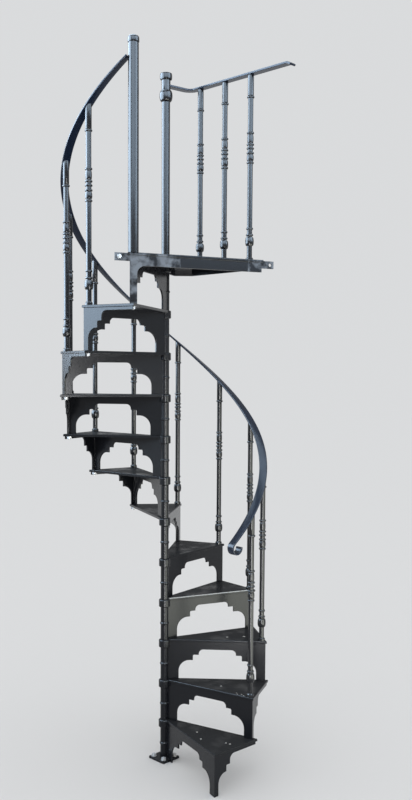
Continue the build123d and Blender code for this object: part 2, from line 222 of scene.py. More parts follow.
class StairFinish(bpy.types.PropertyGroup):
    """Colours of the paint and what lies on it"""

    paint: FloatVectorProperty(
        name="Paint", description="Gloss black paint", default=(0.007, 0.008, 0.011), subtype="COLOR",
    )
    rail: FloatVectorProperty(
        name="Rail Paint", description="Gloss navy black of the handrail",
        default=(0.008, 0.016, 0.038), subtype="COLOR",
    )
    dust: FloatVectorProperty(
        name="Dust", description="Dry dust on faces that look up",
        default=(0.017, 0.017, 0.018), subtype="COLOR",
    )
    scuff: FloatVectorProperty(
        name="Scuff", description="Paint worn thin at edges", default=(0.10, 0.10, 0.11), subtype="COLOR",
    )
    # Painted reflection: colour of the pale patches at both ends of the landing's edge
    end_reflection: FloatVectorProperty(
        name="End Reflection", description="Painted sky reflection at both ends of the landing's edge",
        default=(0.20, 0.23, 0.27), subtype="COLOR",
    )
    zinc: FloatVectorProperty(
        name="Zinc", description="Dull zinc of nuts", default=(0.50, 0.50, 0.50), subtype="COLOR",
    )
    # Also the colour of the painted highlight line on one nosing
    spot: FloatVectorProperty(
        name="Spots", description="Pale spots and flecks", default=(0.55, 0.55, 0.52), subtype="COLOR",
    )


class StairView(bpy.types.PropertyGroup):
    """Camera and stage"""

    distance: FloatProperty(name="Distance", description="Camera to the pole", default=4.526, unit="LENGTH")
    height: FloatProperty(name="Height", description="Camera above the base", default=1.913, unit="LENGTH")
    azimuth: FloatProperty(
        name="Azimuth", description="Camera's turn about the pole", default=radians(-21.98), subtype="ANGLE",
    )
    yaw: FloatProperty(
        name="Yaw", description="Turn of the view to the right", default=radians(2.446), subtype="ANGLE",
    )
    pitch: FloatProperty(
        name="Pitch", description="Tilt of the view upwards", default=radians(-3.98), subtype="ANGLE",
    )
    roll: FloatProperty(
        name="Roll", description="Roll of the view", default=radians(-0.34), subtype="ANGLE",
    )
    focal: FloatProperty(name="Focal Length", description="Of the camera", default=938.0, subtype="PIXEL")
    centre_x: FloatProperty(name="Centre X", description="Optical centre", default=205.0, subtype="PIXEL")
    centre_y: FloatProperty(name="Centre Y", description="Optical centre", default=436.2, subtype="PIXEL")
    aim: FloatProperty(name="Aim", description="Height that the panels face", default=2.4, unit="LENGTH")
    floor_size: FloatProperty(name="Floor", description="Side of the floor", default=60.0, unit="LENGTH")
    pale: FloatVectorProperty(
        name="Background", description="Colour of the floor and of what lies behind",
        default=(0.70, 0.71, 0.72), subtype="COLOR",
    )
    sky: FloatVectorProperty(
        name="Sky", description="Tint of light from the sky", default=(0.62, 0.80, 1.0), subtype="COLOR",
    )
    cloud: FloatVectorProperty(
        name="Cloud", description="Tint of light from cloud", default=(1.0, 1.0, 1.0), subtype="COLOR",
    )
    ground: FloatVectorProperty(
        name="Ground", description="Tint of light from below", default=(0.97, 1.0, 0.88), subtype="COLOR",
    )


def fill(tree, entry, value):
    """Gives an input a link from a socket, or a constant."""
    if isinstance(value, bpy.types.NodeSocket):
        tree.links.new(value, entry)
    else:
        entry.default_value = value


def feed(tree, node, **values):
    """Fills a node's inputs by name, with _ for a space."""
    for label, value in values.items():
        fill(tree, node.inputs[label.replace("_", " ")], value)


def add_node(tree, kind, **values):
    """New node; keywords set its own settings, and those with a capital fill its inputs."""
    node = tree.nodes.new(kind)
    for key, value in values.items():
        if not key[0].isupper():
            setattr(node, key, value)
    feed(tree, node, **{key: value for key, value in values.items() if key[0].isupper()})
    return node


def new_group(name, kind, inputs, outputs):
    """Node group with its sockets, as (name, socket type, default) and (name, socket type)."""
    tree = bpy.data.node_groups.new(name, kind)
    for label, socket_type, default in inputs:
        socket = tree.interface.new_socket(label, in_out="INPUT", socket_type=socket_type)
        if default is not None:
            socket.default_value = default
    for label, socket_type in outputs:
        tree.interface.new_socket(label, in_out="OUTPUT", socket_type=socket_type)
    return tree, tree.nodes.new("NodeGroupInput"), tree.nodes.new("NodeGroupOutput")


def mask_group(name, *inputs):
    """Shader group that puts out a mask, with its inputs as (name, default)."""
    sockets = [(label, FLOAT, default) for label, default in inputs]
    return new_group(name, "ShaderNodeTree", sockets, [("Mask", FLOAT)])


def geometry_group(name, *inputs):
    """Geometry group that changes geometry, with its other inputs as (name, socket type, default)."""
    sockets = [("Geometry", GEOMETRY, None), *inputs]
    return new_group(name, "GeometryNodeTree", sockets, [("Geometry", GEOMETRY)])


def worked_out(tree, operation, *terms, kind="ShaderNodeMath", output="Value"):
    """Result of a sum on sockets and constants."""
    node = add_node(tree, kind, operation=operation)
    for entry, term in zip(node.inputs, terms):
        fill(tree, entry, term)
    return node.outputs[output]


def product(tree, *factors):
    """Product of masks."""
    total = factors[0]
    for factor in factors[1:]:
        total = worked_out(tree, "MULTIPLY", total, factor)
    return total


def ranged(tree, value, low, high, first=0.0, last=1.0):
    """Goes from first to last while a value goes from low to high."""
    ends = {"From_Min": low, "From_Max": high, "To_Min": first, "To_Max": last}
    return add_node(tree, "ShaderNodeMapRange", Value=value, **ends).outputs["Result"]


def own_place(tree):
    """The piece's own coordinates."""
    return add_node(tree, "ShaderNodeTexCoord").outputs["Object"]


def own_normal(tree):
    """The face's own normal."""
    return add_node(tree, "ShaderNodeNewGeometry").outputs["Normal"]


def along_axis(tree, vector, axis):
    """One axis of a vector."""
    return add_node(tree, "ShaderNodeSeparateXYZ", Vector=vector).outputs[axis]


def noise(tree, scale, **values):
    """Noise on the piece's own coordinates."""
    node = add_node(tree, "ShaderNodeTexNoise", Vector=own_place(tree), Scale=scale, **values)
    return node.outputs["Fac"]


@cache
def grain_group():
    """Height and tone of a cast or brushed surface, from noise at two scales."""
    tree, given, result = new_group(
        "cast grain",
        "ShaderNodeTree",
        (("Scale", FLOAT, 60.0), ("Fine Scale", FLOAT, 420.0), ("Fine Share", FLOAT, 0.3)),
        (("Height", FLOAT), ("Tone", FLOAT)),
    )
    broad = noise(tree, given.outputs["Scale"], Detail=4)
    fine = noise(tree, given.outputs["Fine Scale"], Detail=2)
    share = given.outputs["Fine Share"]
    mixed = add_node(tree, "ShaderNodeMix", data_type="FLOAT", Factor=share, A=broad, B=fine)
    feed(tree, result, Height=mixed.outputs["Result"], Tone=broad)
    return tree


@cache
def edge_wear_group():
    """Mask of the worn arrises: where the rounded normal leaves the face's own, broken up by noise."""
    tree, given, result = mask_group("edge wear", ("Radius", 0.003), ("Break Up", 25.0), ("Amount", 0.6))
    rounded = add_node(tree, "ShaderNodeBevel", samples=4, Radius=given.outputs["Radius"])
    normals = rounded.outputs["Normal"], own_normal(tree)
    agreement = worked_out(tree, "DOT_PRODUCT", *normals, kind="ShaderNodeVectorMath")
    edge = ranged(tree, agreement, *WORN_AGREEMENT)
    patches = ranged(tree, noise(tree, given.outputs["Break Up"], Detail=5), *WORN_PATCHES)
    feed(tree, result, Mask=product(tree, edge, patches, given.outputs["Amount"]))
    return tree


@cache
def dust_group():
    """Mask of dust that lies on faces that look up, thicker in patches."""
    tree, given, result = mask_group("dust fall", ("Scale", 9.0), ("Amount", 0.5))
    upward = ranged(tree, along_axis(tree, own_normal(tree), "Z"), *DUSTY_SLOPE)
    cloudy = noise(tree, given.outputs["Scale"], Detail=8, Roughness=0.65)
    patches = ranged(tree, cloudy, *DUSTY_PATCHES)
    feed(tree, result, Mask=product(tree, upward, patches, given.outputs["Amount"]))
    return tree


@cache
def spots_group():
    """Mask of small pale spots, gathered where a broad noise is high."""
    tree, given, result = mask_group("pale spots", ("Scale", 90.0), ("Gathering", 0.6))
    cells = add_node(tree, "ShaderNodeTexVoronoi", Vector=own_place(tree), Scale=given.outputs["Scale"])
    spot = ranged(tree, cells.outputs["Distance"], *SPOT_DISTANCE)
    broad = noise(tree, GATHERING_SCALE)
    gathered = worked_out(tree, "GREATER_THAN", broad, given.outputs["Gathering"])
    feed(tree, result, Mask=product(tree, spot, gathered))
    return tree


@cache
def landing_end_reflection_group():
    """Mask of painted reflection: pale patches towards both ends of the landing's edge, along X, standing in
    for sky seen in its gloss.
    """
    tree, given, result = mask_group("chalky ends", ("Left", -0.08), ("Right", 0.25), ("Scale", 22.0))
    place = along_axis(tree, own_place(tree), "X")
    past_left = worked_out(tree, "LESS_THAN", place, given.outputs["Left"])
    past_right = worked_out(tree, "GREATER_THAN", place, given.outputs["Right"])
    at_ends = worked_out(tree, "MAXIMUM", past_left, past_right)
    on_edge = worked_out(tree, "LESS_THAN", along_axis(tree, own_normal(tree), "Y"), EDGE_FACING)
    patches = ranged(tree, noise(tree, given.outputs["Scale"], Detail=5), *END_REFLECTION_PATCHES)
    feed(tree, result, Mask=product(tree, at_ends, on_edge, patches))
    return tree


def grained(tree, **values):
    """Group node of the shared grain, with its inputs set by name."""
    return add_node(tree, "ShaderNodeGroup", node_tree=grain_group(), **values)


def mask(tree, group, **values):
    """Mask that a shared group puts out, with its inputs set by name."""
    return add_node(tree, "ShaderNodeGroup", node_tree=group, **values).outputs["Mask"]


def covered(tree, colour, cover_mask, cover):
    """Colour, a socket or four numbers, with a constant cover laid over it by a mask."""
    mix = add_node(tree, "ShaderNodeMix", data_type="RGBA", Factor=cover_mask, A=colour, B=(*cover, 1))
    return mix.outputs["Result"]


def mottled(tree, colour, tone, share):
    """Constant colour that darkens to a share of itself with the grain's tone."""
    return covered(tree, (*colour, 1), tone, [share * part for part in colour])


def new_material(name):
    """New material, its tree and its shader."""
    material = bpy.data.materials.new(name)
    material.use_nodes = True
    return material, material.node_tree, material.node_tree.nodes["Principled BSDF"]


def add_relief(tree, shader, height, strength, depth):
    """Fine relief from a height."""
    bump = add_node(tree, "ShaderNodeBump", Strength=strength, Distance=depth, Height=height)
    feed(tree, shader, Normal=bump.outputs["Normal"])


def gloss_paint(name, finish):
    """Gloss paint on iron: a clear coat that dust takes away, over worn arrises, pale spots and grain."""
    material = bpy.data.materials.get(name)
    if material:
        return material
    colour, coat_ior, coat_roughness, grain_scale, bump, edge, wear, dust, spots = PAINTS[name]
    material, tree, shader = new_material(name)
    grain = grained(tree, Scale=grain_scale, Fine_Scale=grain_scale * FINE_GRAIN)
    worn = mask(tree, edge_wear_group(), Radius=edge, Amount=wear)
    dusty = mask(tree, dust_group(), Amount=dust)
    spotted = mask(tree, spots_group(), Gathering=spots)
    surface = covered(tree, (*getattr(finish, colour), 1), worn, finish.scuff)
    surface = covered(tree, surface, dusty, finish.dust)
    surface = covered(tree, surface, spotted, finish.spot)
    # Painted reflection: pale bluish patches at both ends of the landing's edge stand in for sky seen in its
    # gloss
    if name == LANDING_PAINT:
        surface = covered(tree, surface, mask(tree, landing_end_reflection_group()), finish.end_reflection)
    sheen = ranged(tree, grain.outputs["Tone"], 0.3, 0.7, *UNDERCOAT_ROUGHNESS)
    dulled = worked_out(tree, "MULTIPLY_ADD", dusty, DUST_ROUGHNESS, sheen)
    glossy = worked_out(tree, "SUBTRACT", 1, dusty)
    feed(tree, shader, Base_Color=surface, IOR=UNDERCOAT_IOR, Roughness=dulled)
    feed(tree, shader, Coat_Weight=glossy, Coat_IOR=coat_ior, Coat_Roughness=coat_roughness)
    add_relief(tree, shader, grain.outputs["Height"], bump, GRAIN_DEPTH)
    return material


def zinc_finish(finish):
    """Dull zinc of nuts and bolts, mottled and dusty."""
    material, tree, shader = new_material("zinc fixings")
    grain = grained(tree, Scale=180, Fine_Scale=900)
    tone = grain.outputs["Tone"]
    feed(tree, shader, Base_Color=mottled(tree, finish.zinc, tone, 0.45), Metallic=0.5)
    feed(tree, shader, Roughness=ranged(tree, tone, 0, 1, 0.35, 0.6))
    add_relief(tree, shader, grain.outputs["Height"], 0.3, 0.0005)
    return material


def pale_finish(finish):
    """Pale matt flecks, and the painted highlight: a bright line on one nosing that stands in for light on
    its arris.
    """
    material, tree, shader = new_material("pale wear")
    tone = grained(tree, Scale=120).outputs["Tone"]
    feed(tree, shader, Base_Color=mottled(tree, finish.spot, tone, 0.5), Roughness=0.5)
    return material


def middle(node):
    """Centre of a node's box."""
    low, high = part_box(node)
    return (Vector(low) + Vector(high)) / 2


def upright(node):
    """Foot's level, radius and length of an upright turned node."""
    low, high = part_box(node)
    return low[2], (high[0] - low[0]) / 2, high[2] - low[2]


def linked(name, data):
    """New object of a mesh, a camera or a light, in the scene."""
    piece = bpy.data.objects.new(name, data)
    bpy.context.scene.collection.objects.link(piece)
    return piece


def baked(piece, sharp=None):
    """The piece with its modifiers applied to a plain mesh, smooth up to an angle where one is given."""
    graph = bpy.context.evaluated_depsgraph_get()
    mesh = bpy.data.meshes.new_from_object(piece.evaluated_get(graph))
    piece.modifiers.clear()
    piece.data = mesh
    if sharp:
        for face in mesh.polygons:
            face.use_smooth = True
        mesh.set_sharp_from_angle(angle=sharp)
    return piece


def finished(piece, paint, slot, *nodes):
    """Paints a piece, lets it ride on the stair and hides the nodes that it stands for."""
    piece.data.materials.clear()
    piece.data.materials.append(paint)
    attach(piece, "root")
    if nodes:
        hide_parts(*nodes)


def write_smooth(solid, mesh):
    """Writes a finished solid to a mesh, with smooth faces."""
    for face in solid.faces:
        face.smooth = True
    solid.to_mesh(mesh)
    solid.free()


def casting_copy(node, name, arris):
    """Copy of a casting with merged points and rounded arrises."""
    mesh = NODES[node].data.copy()
    mesh.materials.clear()
    solid = bmesh.new()
    solid.from_mesh(mesh)
    bmesh.ops.remove_doubles(solid, verts=solid.verts, dist=0.00002)
    bmesh.ops.dissolve_limit(solid, angle_limit=radians(1), verts=solid.verts, edges=solid.edges)
    write_smooth(solid, mesh)
    piece = linked(name, mesh)
    bevel = piece.modifiers.new("arrises", "BEVEL")
    bevel.width = arris
    bevel.segments = 2
    bevel.limit_method = "ANGLE"
    bevel.angle_limit = radians(40)
    bevel.use_clamp_overlap = False
    weighted = piece.modifiers.new("flat faces", "WEIGHTED_NORMAL")
    weighted.weight = 100
    return baked(piece)


def turned(name, profile, place, sides):
    """Turned piece about a vertical axis, from (radius, height) points that start and end on the axis."""
    mesh = bpy.data.meshes.new(name)
    solid = bmesh.new()
    turns = [2 * pi * step / sides for step in range(sides)]
    rings = []
    for radius, height in profile:
        level = place[2] + height
        if radius == 0:
            rings.append([solid.verts.new((place[0], place[1], level))])
        else:
            rings.append([
                solid.verts.new((place[0] + radius * cos(a), place[1] + radius * sin(a), level))
                for a in turns
            ])
    for lower, upper in zip(rings, rings[1:]):
        for step in range(sides):
            corners = [lower[step % len(lower)], lower[(step + 1) % len(lower)]]
            corners += [upper[(step + 1) % len(upper)], upper[step % len(upper)]]
            solid.faces.new(list(dict.fromkeys(corners)))
    bmesh.ops.recalc_face_normals(solid, faces=solid.faces)
    write_smooth(solid, mesh)
    mesh.set_sharp_from_angle(angle=radians(35))
    return linked(name, mesh)


def moulding(centre, half_length, neck, radius, steps=8, fullness=0.7):
    """Rounded moulding on a neck, as (radius, height) points from its foot to its top; 1 is an ellipse."""
    points = []
    for step in range(steps + 1):
        angle = pi * step / steps
        bulge = (radius - neck) * sin(angle) ** fullness
        points.append((neck + bulge, centre - half_length * cos(angle)))
    return points


def scaled(outline, radius, length):
    """Outline in shares, brought to a radius and a length."""
    return [(share * radius, height * length) for share, height in outline]


def rod_outline():
    """Outline of a plain rod, in shares of its radius and length."""
    return [(0, 0), (1, 0), (1, 1), (0, 1)]


def newel_head_outline():
    """Outline of the newel's head, a bulb, a neck and a rolled rim, in shares of its radius and length."""
    bulb = moulding(0.21, 0.19, 0.70, 1, 16, 1)
    rim = moulding(0.86, 0.105, 0.84, 0.94, 12)
    return [
        (0, 0), (0.63, 0), (0.74, 0.02), *bulb, (0.68, 0.41), (0.68, 0.735), *rim,
        (0.6, 0.99), (0.3, 1), (0, 1),
    ]


def post_cap_outline():
    """Outline of the corner post's cap, a band and a low dome, in shares of its radius and length."""
    dome = [radians(angle) for angle in range(15, 90, 15)]
    return [
        (0, 0), (0.84, 0), (0.84, 0.14), (0.96, 0.17), (1, 0.22), (1, 0.66), (0.97, 0.72),
        *[(0.95 * cos(a), 0.72 + 0.28 * sin(a)) for a in dome], (0, 1),
    ]


def baluster_outline(height):
    """Outline of a turned baluster of a height, from the axis at its foot to the axis at its top."""
    foot_share, foot_half, foot_radius = BALUSTER_MOULDINGS[0]
    foot_top = (foot_share + foot_half) * height
    outline = [(0, 0), (foot_radius, 0), (foot_radius, foot_top)]
    outline.append((BALUSTER_NECK, foot_top + foot_radius - BALUSTER_NECK))
    for share, half_share, radius in BALUSTER_MOULDINGS[1:]:
        outline += moulding(share * height, half_share * height, BALUSTER_NECK, radius)
    sleeve_share, sleeve_radius = BALUSTER_SLEEVE
    return outline + [(sleeve_radius, sleeve_share * height), (sleeve_radius, height), (0, height)]


def end_tree(tree, geometry, paint, result):
    """Ends a tree: makes instances real, paints them and puts them out."""
    real = add_node(tree, "GeometryNodeRealizeInstances", Geometry=geometry)
    painted = add_node(tree, "GeometryNodeSetMaterial", Geometry=real.outputs["Geometry"], Material=paint)
    feed(tree, result, Geometry=painted.outputs["Geometry"])
    return tree


def placed_copies(tree, points, instance, **values):
    """An instance on each point."""
    node = add_node(tree, "GeometryNodeInstanceOnPoints", Points=points, Instance=instance, **values)
    return node.outputs["Instances"]


def named_vectors(tree, name):
    """Vectors stored on the points under a name."""
    node = add_node(tree, "GeometryNodeInputNamedAttribute", data_type="FLOAT_VECTOR", Name=name)
    return node.outputs["Attribute"]


def along_z(tree, value, **others):
    """Vector with a value along Z."""
    return add_node(tree, "ShaderNodeCombineXYZ", Z=value, **others).outputs["Vector"]


def helical_array_tree(paint):
    """Copies of the object's own mesh, each turned and raised from the one before."""
    tree, given, result = geometry_group(
        "helical array", ("Count", INTEGER, 10), ("Turn", FLOAT, 0.5), ("Rise", FLOAT, 0.2)
    )
    size = given.outputs
    line = add_node(tree, "GeometryNodeMeshLine", Count=size["Count"], Offset=along_z(tree, size["Rise"]))
    number = add_node(tree, "GeometryNodeInputIndex").outputs["Index"]
    turn = along_z(tree, worked_out(tree, "MULTIPLY", number, size["Turn"]))
    copies = placed_copies(tree, line.outputs["Mesh"], size["Geometry"], Rotation=turn)
    return end_tree(tree, copies, paint, result)


def straight_array_tree(paint):
    """Copies of the object's own mesh along a straight line."""
    tree, given, result = geometry_group(
        "straight array", ("Count", INTEGER, 3), ("Step", "NodeSocketVector", (0, 0, 0))
    )
    size = given.outputs
    line = add_node(tree, "GeometryNodeMeshLine", Count=size["Count"], Offset=size["Step"])
    return end_tree(tree, placed_copies(tree, line.outputs["Mesh"], size["Geometry"]), paint, result)


def flat_bar_tree(paint):
    """Flat bar with rounded edges along the object's own line of points, its width across the line."""
    tree, given, result = geometry_group(
        "flat bar on a path",
        ("Width", FLOAT, 0.038),
        ("Thickness", FLOAT, 0.009),
        ("Rounding", FLOAT, 0.003),
    )
    size = given.outputs
    path = add_node(tree, "GeometryNodeMeshToCurve", Mesh=size["Geometry"])
    normal = add_node(tree, "GeometryNodeSetCurveNormal", mode="FREE")
    feed(tree, normal, Curve=path.outputs["Curve"], Normal=named_vectors(tree, "across"))
    section = add_node(tree, "GeometryNodeCurvePrimitiveQuadrilateral")
    feed(tree, section, Width=size["Width"], Height=size["Thickness"])
    rounded = add_node(tree, "GeometryNodeFilletCurve", mode="POLY", Count=4)
    feed(tree, rounded, Curve=section.outputs["Curve"], Radius=size["Rounding"])
    bar = add_node(tree, "GeometryNodeCurveToMesh", Fill_Caps=True)
    feed(tree, bar, Curve=normal.outputs["Curve"], Profile_Curve=rounded.outputs["Curve"])
    smooth = add_node(tree, "GeometryNodeSetShadeSmooth", Geometry=bar.outputs["Mesh"])
    return end_tree(tree, smooth.outputs["Geometry"], paint, result)


def fixings_tree(paint):
    """Hexagon nut on a washer, with the bolt's end past it, on each of the object's own points."""
    tree, given, result = geometry_group(
        "nuts on points",
        ("Nut Radius", FLOAT, 0.0105),
        ("Nut Height", FLOAT, 0.009),
        ("Washer Radius", FLOAT, 0.012),
        ("Washer Height", FLOAT, 0.002),
        ("Shank Radius", FLOAT, 0.0055),
        ("Shank", FLOAT, 0.008),
    )
    size = given.outputs
    joined = add_node(tree, "GeometryNodeJoinGeometry")

    def stacked(sides, radius, height, *below):
        """Adds a prism to the stack, over the heights below it."""
        prism = add_node(tree, "GeometryNodeMeshCylinder", Vertices=sides)
        feed(tree, prism, Radius=size[radius], Depth=size[height])
        level = worked_out(tree, "MULTIPLY", size[height], 0.5)
        for part in below:
            level = worked_out(tree, "ADD", level, size[part])
        moved = add_node(tree, "GeometryNodeTransform", Geometry=prism.outputs["Mesh"])
        feed(tree, moved, Translation=along_z(tree, level))
        feed(tree, joined, Geometry=moved.outputs["Geometry"])

    stacked(20, "Washer Radius", "Washer Height")
    stacked(6, "Nut Radius", "Nut Height", "Washer Height")
    stacked(12, "Shank Radius", "Shank", "Washer Height", "Nut Height")
    turn = add_node(tree, "FunctionNodeAlignRotationToVector", axis="Z")
    feed(tree, turn, Vector=named_vectors(tree, "outward"))
    stack, way = joined.outputs["Geometry"], turn.outputs["Rotation"]
    return end_tree(tree, placed_copies(tree, size["Geometry"], stack, Rotation=way), paint, result)


def flecks_tree(paint):
    """Flat round fleck on each of the object's own points, of the point's own radius."""
    tree, given, result = geometry_group("flecks on points", ("Flatness", FLOAT, 0.12))
    size = given.outputs
    ball = add_node(tree, "GeometryNodeMeshIcoSphere", Radius=1, Subdivisions=2).outputs["Mesh"]
    factors = named_vectors(tree, "size"), along_z(tree, size["Flatness"], X=1, Y=1)
    shape = worked_out(tree, "MULTIPLY", *factors, kind="ShaderNodeVectorMath", output="Vector")
    return end_tree(tree, placed_copies(tree, size["Geometry"], ball, Scale=shape), paint, result)


def grown(piece, tree, sharp=None, **values):
    """Runs a Geometry Nodes tree on a piece, with its inputs set by name, and applies it."""
    modifier = piece.modifiers.new(tree.name, "NODES")
    modifier.node_group = tree
    sockets = {item.name: item.identifier for item in tree.interface.items_tree if item.in_out == "INPUT"}
    for label, value in values.items():
        modifier[sockets[label.replace("_", " ")]] = value
    return baked(piece, sharp)


def line_of_points(name, points, label, directions, joined):
    """Points with a direction each, joined as one open line where asked."""
    mesh = bpy.data.meshes.new(name)
    edges = [(index, index + 1) for index in range(len(points) - 1)] if joined else []
    mesh.from_pydata([tuple(point) for point in points], edges, [])
    stored = mesh.attributes.new(label, "FLOAT_VECTOR", "POINT")
    for index, direction in enumerate(directions):
        stored.data[index].vector = direction
    return linked(name, mesh)


def radial(azimuth):
    """Outward direction at an azimuth about the pole."""
    return Vector((cos(azimuth), sin(azimuth), 0))


def raised(height):
    """Step straight up."""
    return Vector((0, 0, height))


def azimuth_of(node):
    """Azimuth of a node's middle about the pole."""
    place = middle(node)
    return atan2(place.y, place.x)


def nosing_azimuths(sizes):
    """Azimuths of the nosings from the first tread to the landing, which is the last."""
    landing = radians(-90) - sizes.landing_angle / 2
    steps = len(TREADS)
    return [landing + (number - steps) * sizes.step_angle for number in range(steps + 1)]


class STAIR_OT_castings(bpy.types.Operator):
    """Round and paint the treads, the landing and the base plate"""

    bl_idname = "stair.castings"
    bl_label = "Dress Castings"

    def execute(self, context):
        sizes = context.scene.stair_sizes
        finish = context.scene.stair_finish
        paint = gloss_paint(CASTINGS_PAINT, finish)
        finished(casting_copy("base_plate", "base_casting", sizes.arris), paint, "casting", "base_plate")
        landing = casting_copy("landing", "landing_casting", sizes.arris)
        finished(landing, gloss_paint(LANDING_PAINT, finish), "casting", "landing")
        finished(casting_copy("tread_01", "first_tread", sizes.arris), paint, "casting", "tread_01")
        flight = casting_copy("tread_02", "flight_of_treads", sizes.arris)
        count = len(TREADS) - 1
        grown(flight, helical_array_tree(paint), Count=count, Turn=sizes.step_angle, Rise=sizes.rise)
        finished(flight, paint, "casting", *TREADS[1:])
        return {"FINISHED"}


class STAIR_OT_column(bpy.types.Operator):
    """Turn the pole, the newel above the landing and the corner post"""

    bl_idname = "stair.column"
    bl_label = "Turn Column and Post"

    def execute(self, context):
        paint = gloss_paint(TUBES_PAINT, context.scene.stair_finish)
        post = middle("landing_post")
        for name, node, slot, outline, (x, y) in (
            ("pole", "centre_pole", "column", rod_outline(), (0, 0)),
            ("newel", "newel_tube", "column", rod_outline(), (0, 0)),
            ("newel_finial", "newel_head", "column", newel_head_outline(), (0, 0)),
            ("corner_post", "landing_post", "post", rod_outline(), (post.x, post.y)),
            ("corner_post_cap", "landing_post_cap", "post", post_cap_outline(), (post.x, post.y)),
        ):
            foot, radius, length = upright(node)
            piece = turned(name, scaled(outline, radius, length), (x, y, foot), COLUMN_SIDES)
            finished(piece, paint, slot, node)
        return {"FINISHED"}


class STAIR_OT_balusters(bpy.types.Operator):
    """Turn the balusters of the stair and of the landing"""

    bl_idname = "stair.balusters"
    bl_label = "Turn Balusters"

    def execute(self, context):
        sizes = context.scene.stair_sizes
        paint = gloss_paint(TURNED_PAINT, context.scene.stair_finish)

        def turned_baluster(name, place, foot, height):
            """First baluster of a row."""
            return turned(name, baluster_outline(height), (place.x, place.y, foot), BALUSTER_SIDES)

        first = STAIR_BALUSTERS[0]
        place = middle(first)
        foot, _, length = upright(first)
        slope = sizes.rise / (sizes.step_angle * place.to_2d().length)
        height = length - slope * BALUSTER_SLEEVE[1]
        row = turned_baluster("stair_balusters", place, foot, height)
        uphill = radial(azimuth_of(first) + radians(90))
        tolerance = 0.0001
        for vertex in row.data.vertices:
            if vertex.co.z > foot + height - tolerance:
                vertex.co.z += slope * (vertex.co - place).dot(uphill)
        count = len(STAIR_BALUSTERS)
        grown(row, helical_array_tree(paint), Count=count, Turn=sizes.step_angle, Rise=sizes.rise)
        finished(row, paint, "baluster", *STAIR_BALUSTERS)

        first, second, _ = LANDING_BALUSTERS
        place = middle(first)
        foot, _, height = upright(first)
        row = turned_baluster("landing_balusters", place, foot, height)
        step = middle(second) - place
        grown(row, straight_array_tree(paint), Count=len(LANDING_BALUSTERS), Step=step)
        finished(row, paint, "baluster", *LANDING_BALUSTERS)
        return {"FINISHED"}


class STAIR_OT_handrails(bpy.types.Operator):
    """Bend the winding handrail in its three lengths"""

    bl_idname = "stair.handrails"
    bl_label = "Bend Handrails"

    def execute(self, context):
        sizes = context.scene.stair_sizes
        rail = context.scene.stair_rail
        paint = gloss_paint(RAIL_PAINT, context.scene.stair_finish)
        tree = flat_bar_tree(paint)

        first = STAIR_BALUSTERS[0]
        radius = middle(first).to_2d().length
        climb = sizes.rise / sizes.step_angle
        slope = climb / radius
        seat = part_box(first)[1][2] - slope * BALUSTER_SLEEVE[1]
        lift = rail.thickness / 2 * hypot(1, slope) + rail.clearance
        nosing = nosing_azimuths(sizes)[0]
        lead = (azimuth_of(first) - nosing) % tau - sizes.step_angle
        joints = [nosing + lead + number * sizes.step_angle for number in RAIL_JOINTS]
        post = middle("landing_post")
        post_radius = upright("landing_post")[1]
        end = nosing + (atan2(post.y, post.x) - nosing) % tau - post_radius / radius

        def level(azimuth):
            """Level of the bar's middle at an azimuth."""
            return seat + lift + (azimuth - nosing - lead - sizes.step_angle) * climb

        def wound(begin, finish, apart=radians(2)):
            """Points and outward directions of the winding bar."""
            count = max(2, round((finish - begin) / apart))
            turns = [begin + (finish - begin) * step / count for step in range(count + 1)]
            return [radial(a) * radius + raised(level(a)) for a in turns], [radial(a) for a in turns]

        def scroll(end_point, inner, downhill, steps=24):
            """Points of the lower scroll, from its free end to the bar's end."""
            turns = [rail.curl_angle * step / steps for step in range(steps, 0, -1)]
            centre = end_point + inner * rail.curl_radius
            arms = [downhill * sin(a) - inner * cos(a) for a in turns]
            return [centre + arm * rail.curl_radius for arm in arms]

        def bent(name, node, points, across):
            """One length of the rail."""
            piece = line_of_points(name, points, "across", across, True)
            bar = {"Width": rail.width, "Thickness": rail.thickness, "Rounding": rail.rounding}
            finished(grown(piece, tree, sharp=radians(40), **bar), paint, "handrail", node)

        points, across = wound(nosing + rail.after_first, joints[0])
        downhill = (points[0] - points[1]).normalized()
        inner = across[0].cross(downhill)
        curl = scroll(points[0], inner if inner.z < 0 else -inner, downhill)
        bent("lower_rail", "handrail_lower", curl + points, [across[0]] * len(curl) + across)
        bent("middle_rail", "handrail_middle", *wound(*joints))
        bent("upper_rail", "handrail_upper", *wound(joints[1], end))
        return {"FINISHED"}


class STAIR_OT_landing_rail(bpy.types.Operator):
    """Round and paint the level rail of the landing"""

    bl_idname = "stair.landing_rail"
    bl_label = "Dress Landing Rail"

    def execute(self, context):
        piece = casting_copy("landing_rail", "level_rail", context.scene.stair_rail.rounding / 2)
        finished(piece, gloss_paint(RAIL_PAINT, context.scene.stair_finish), "handrail", "landing_rail")
        return {"FINISHED"}


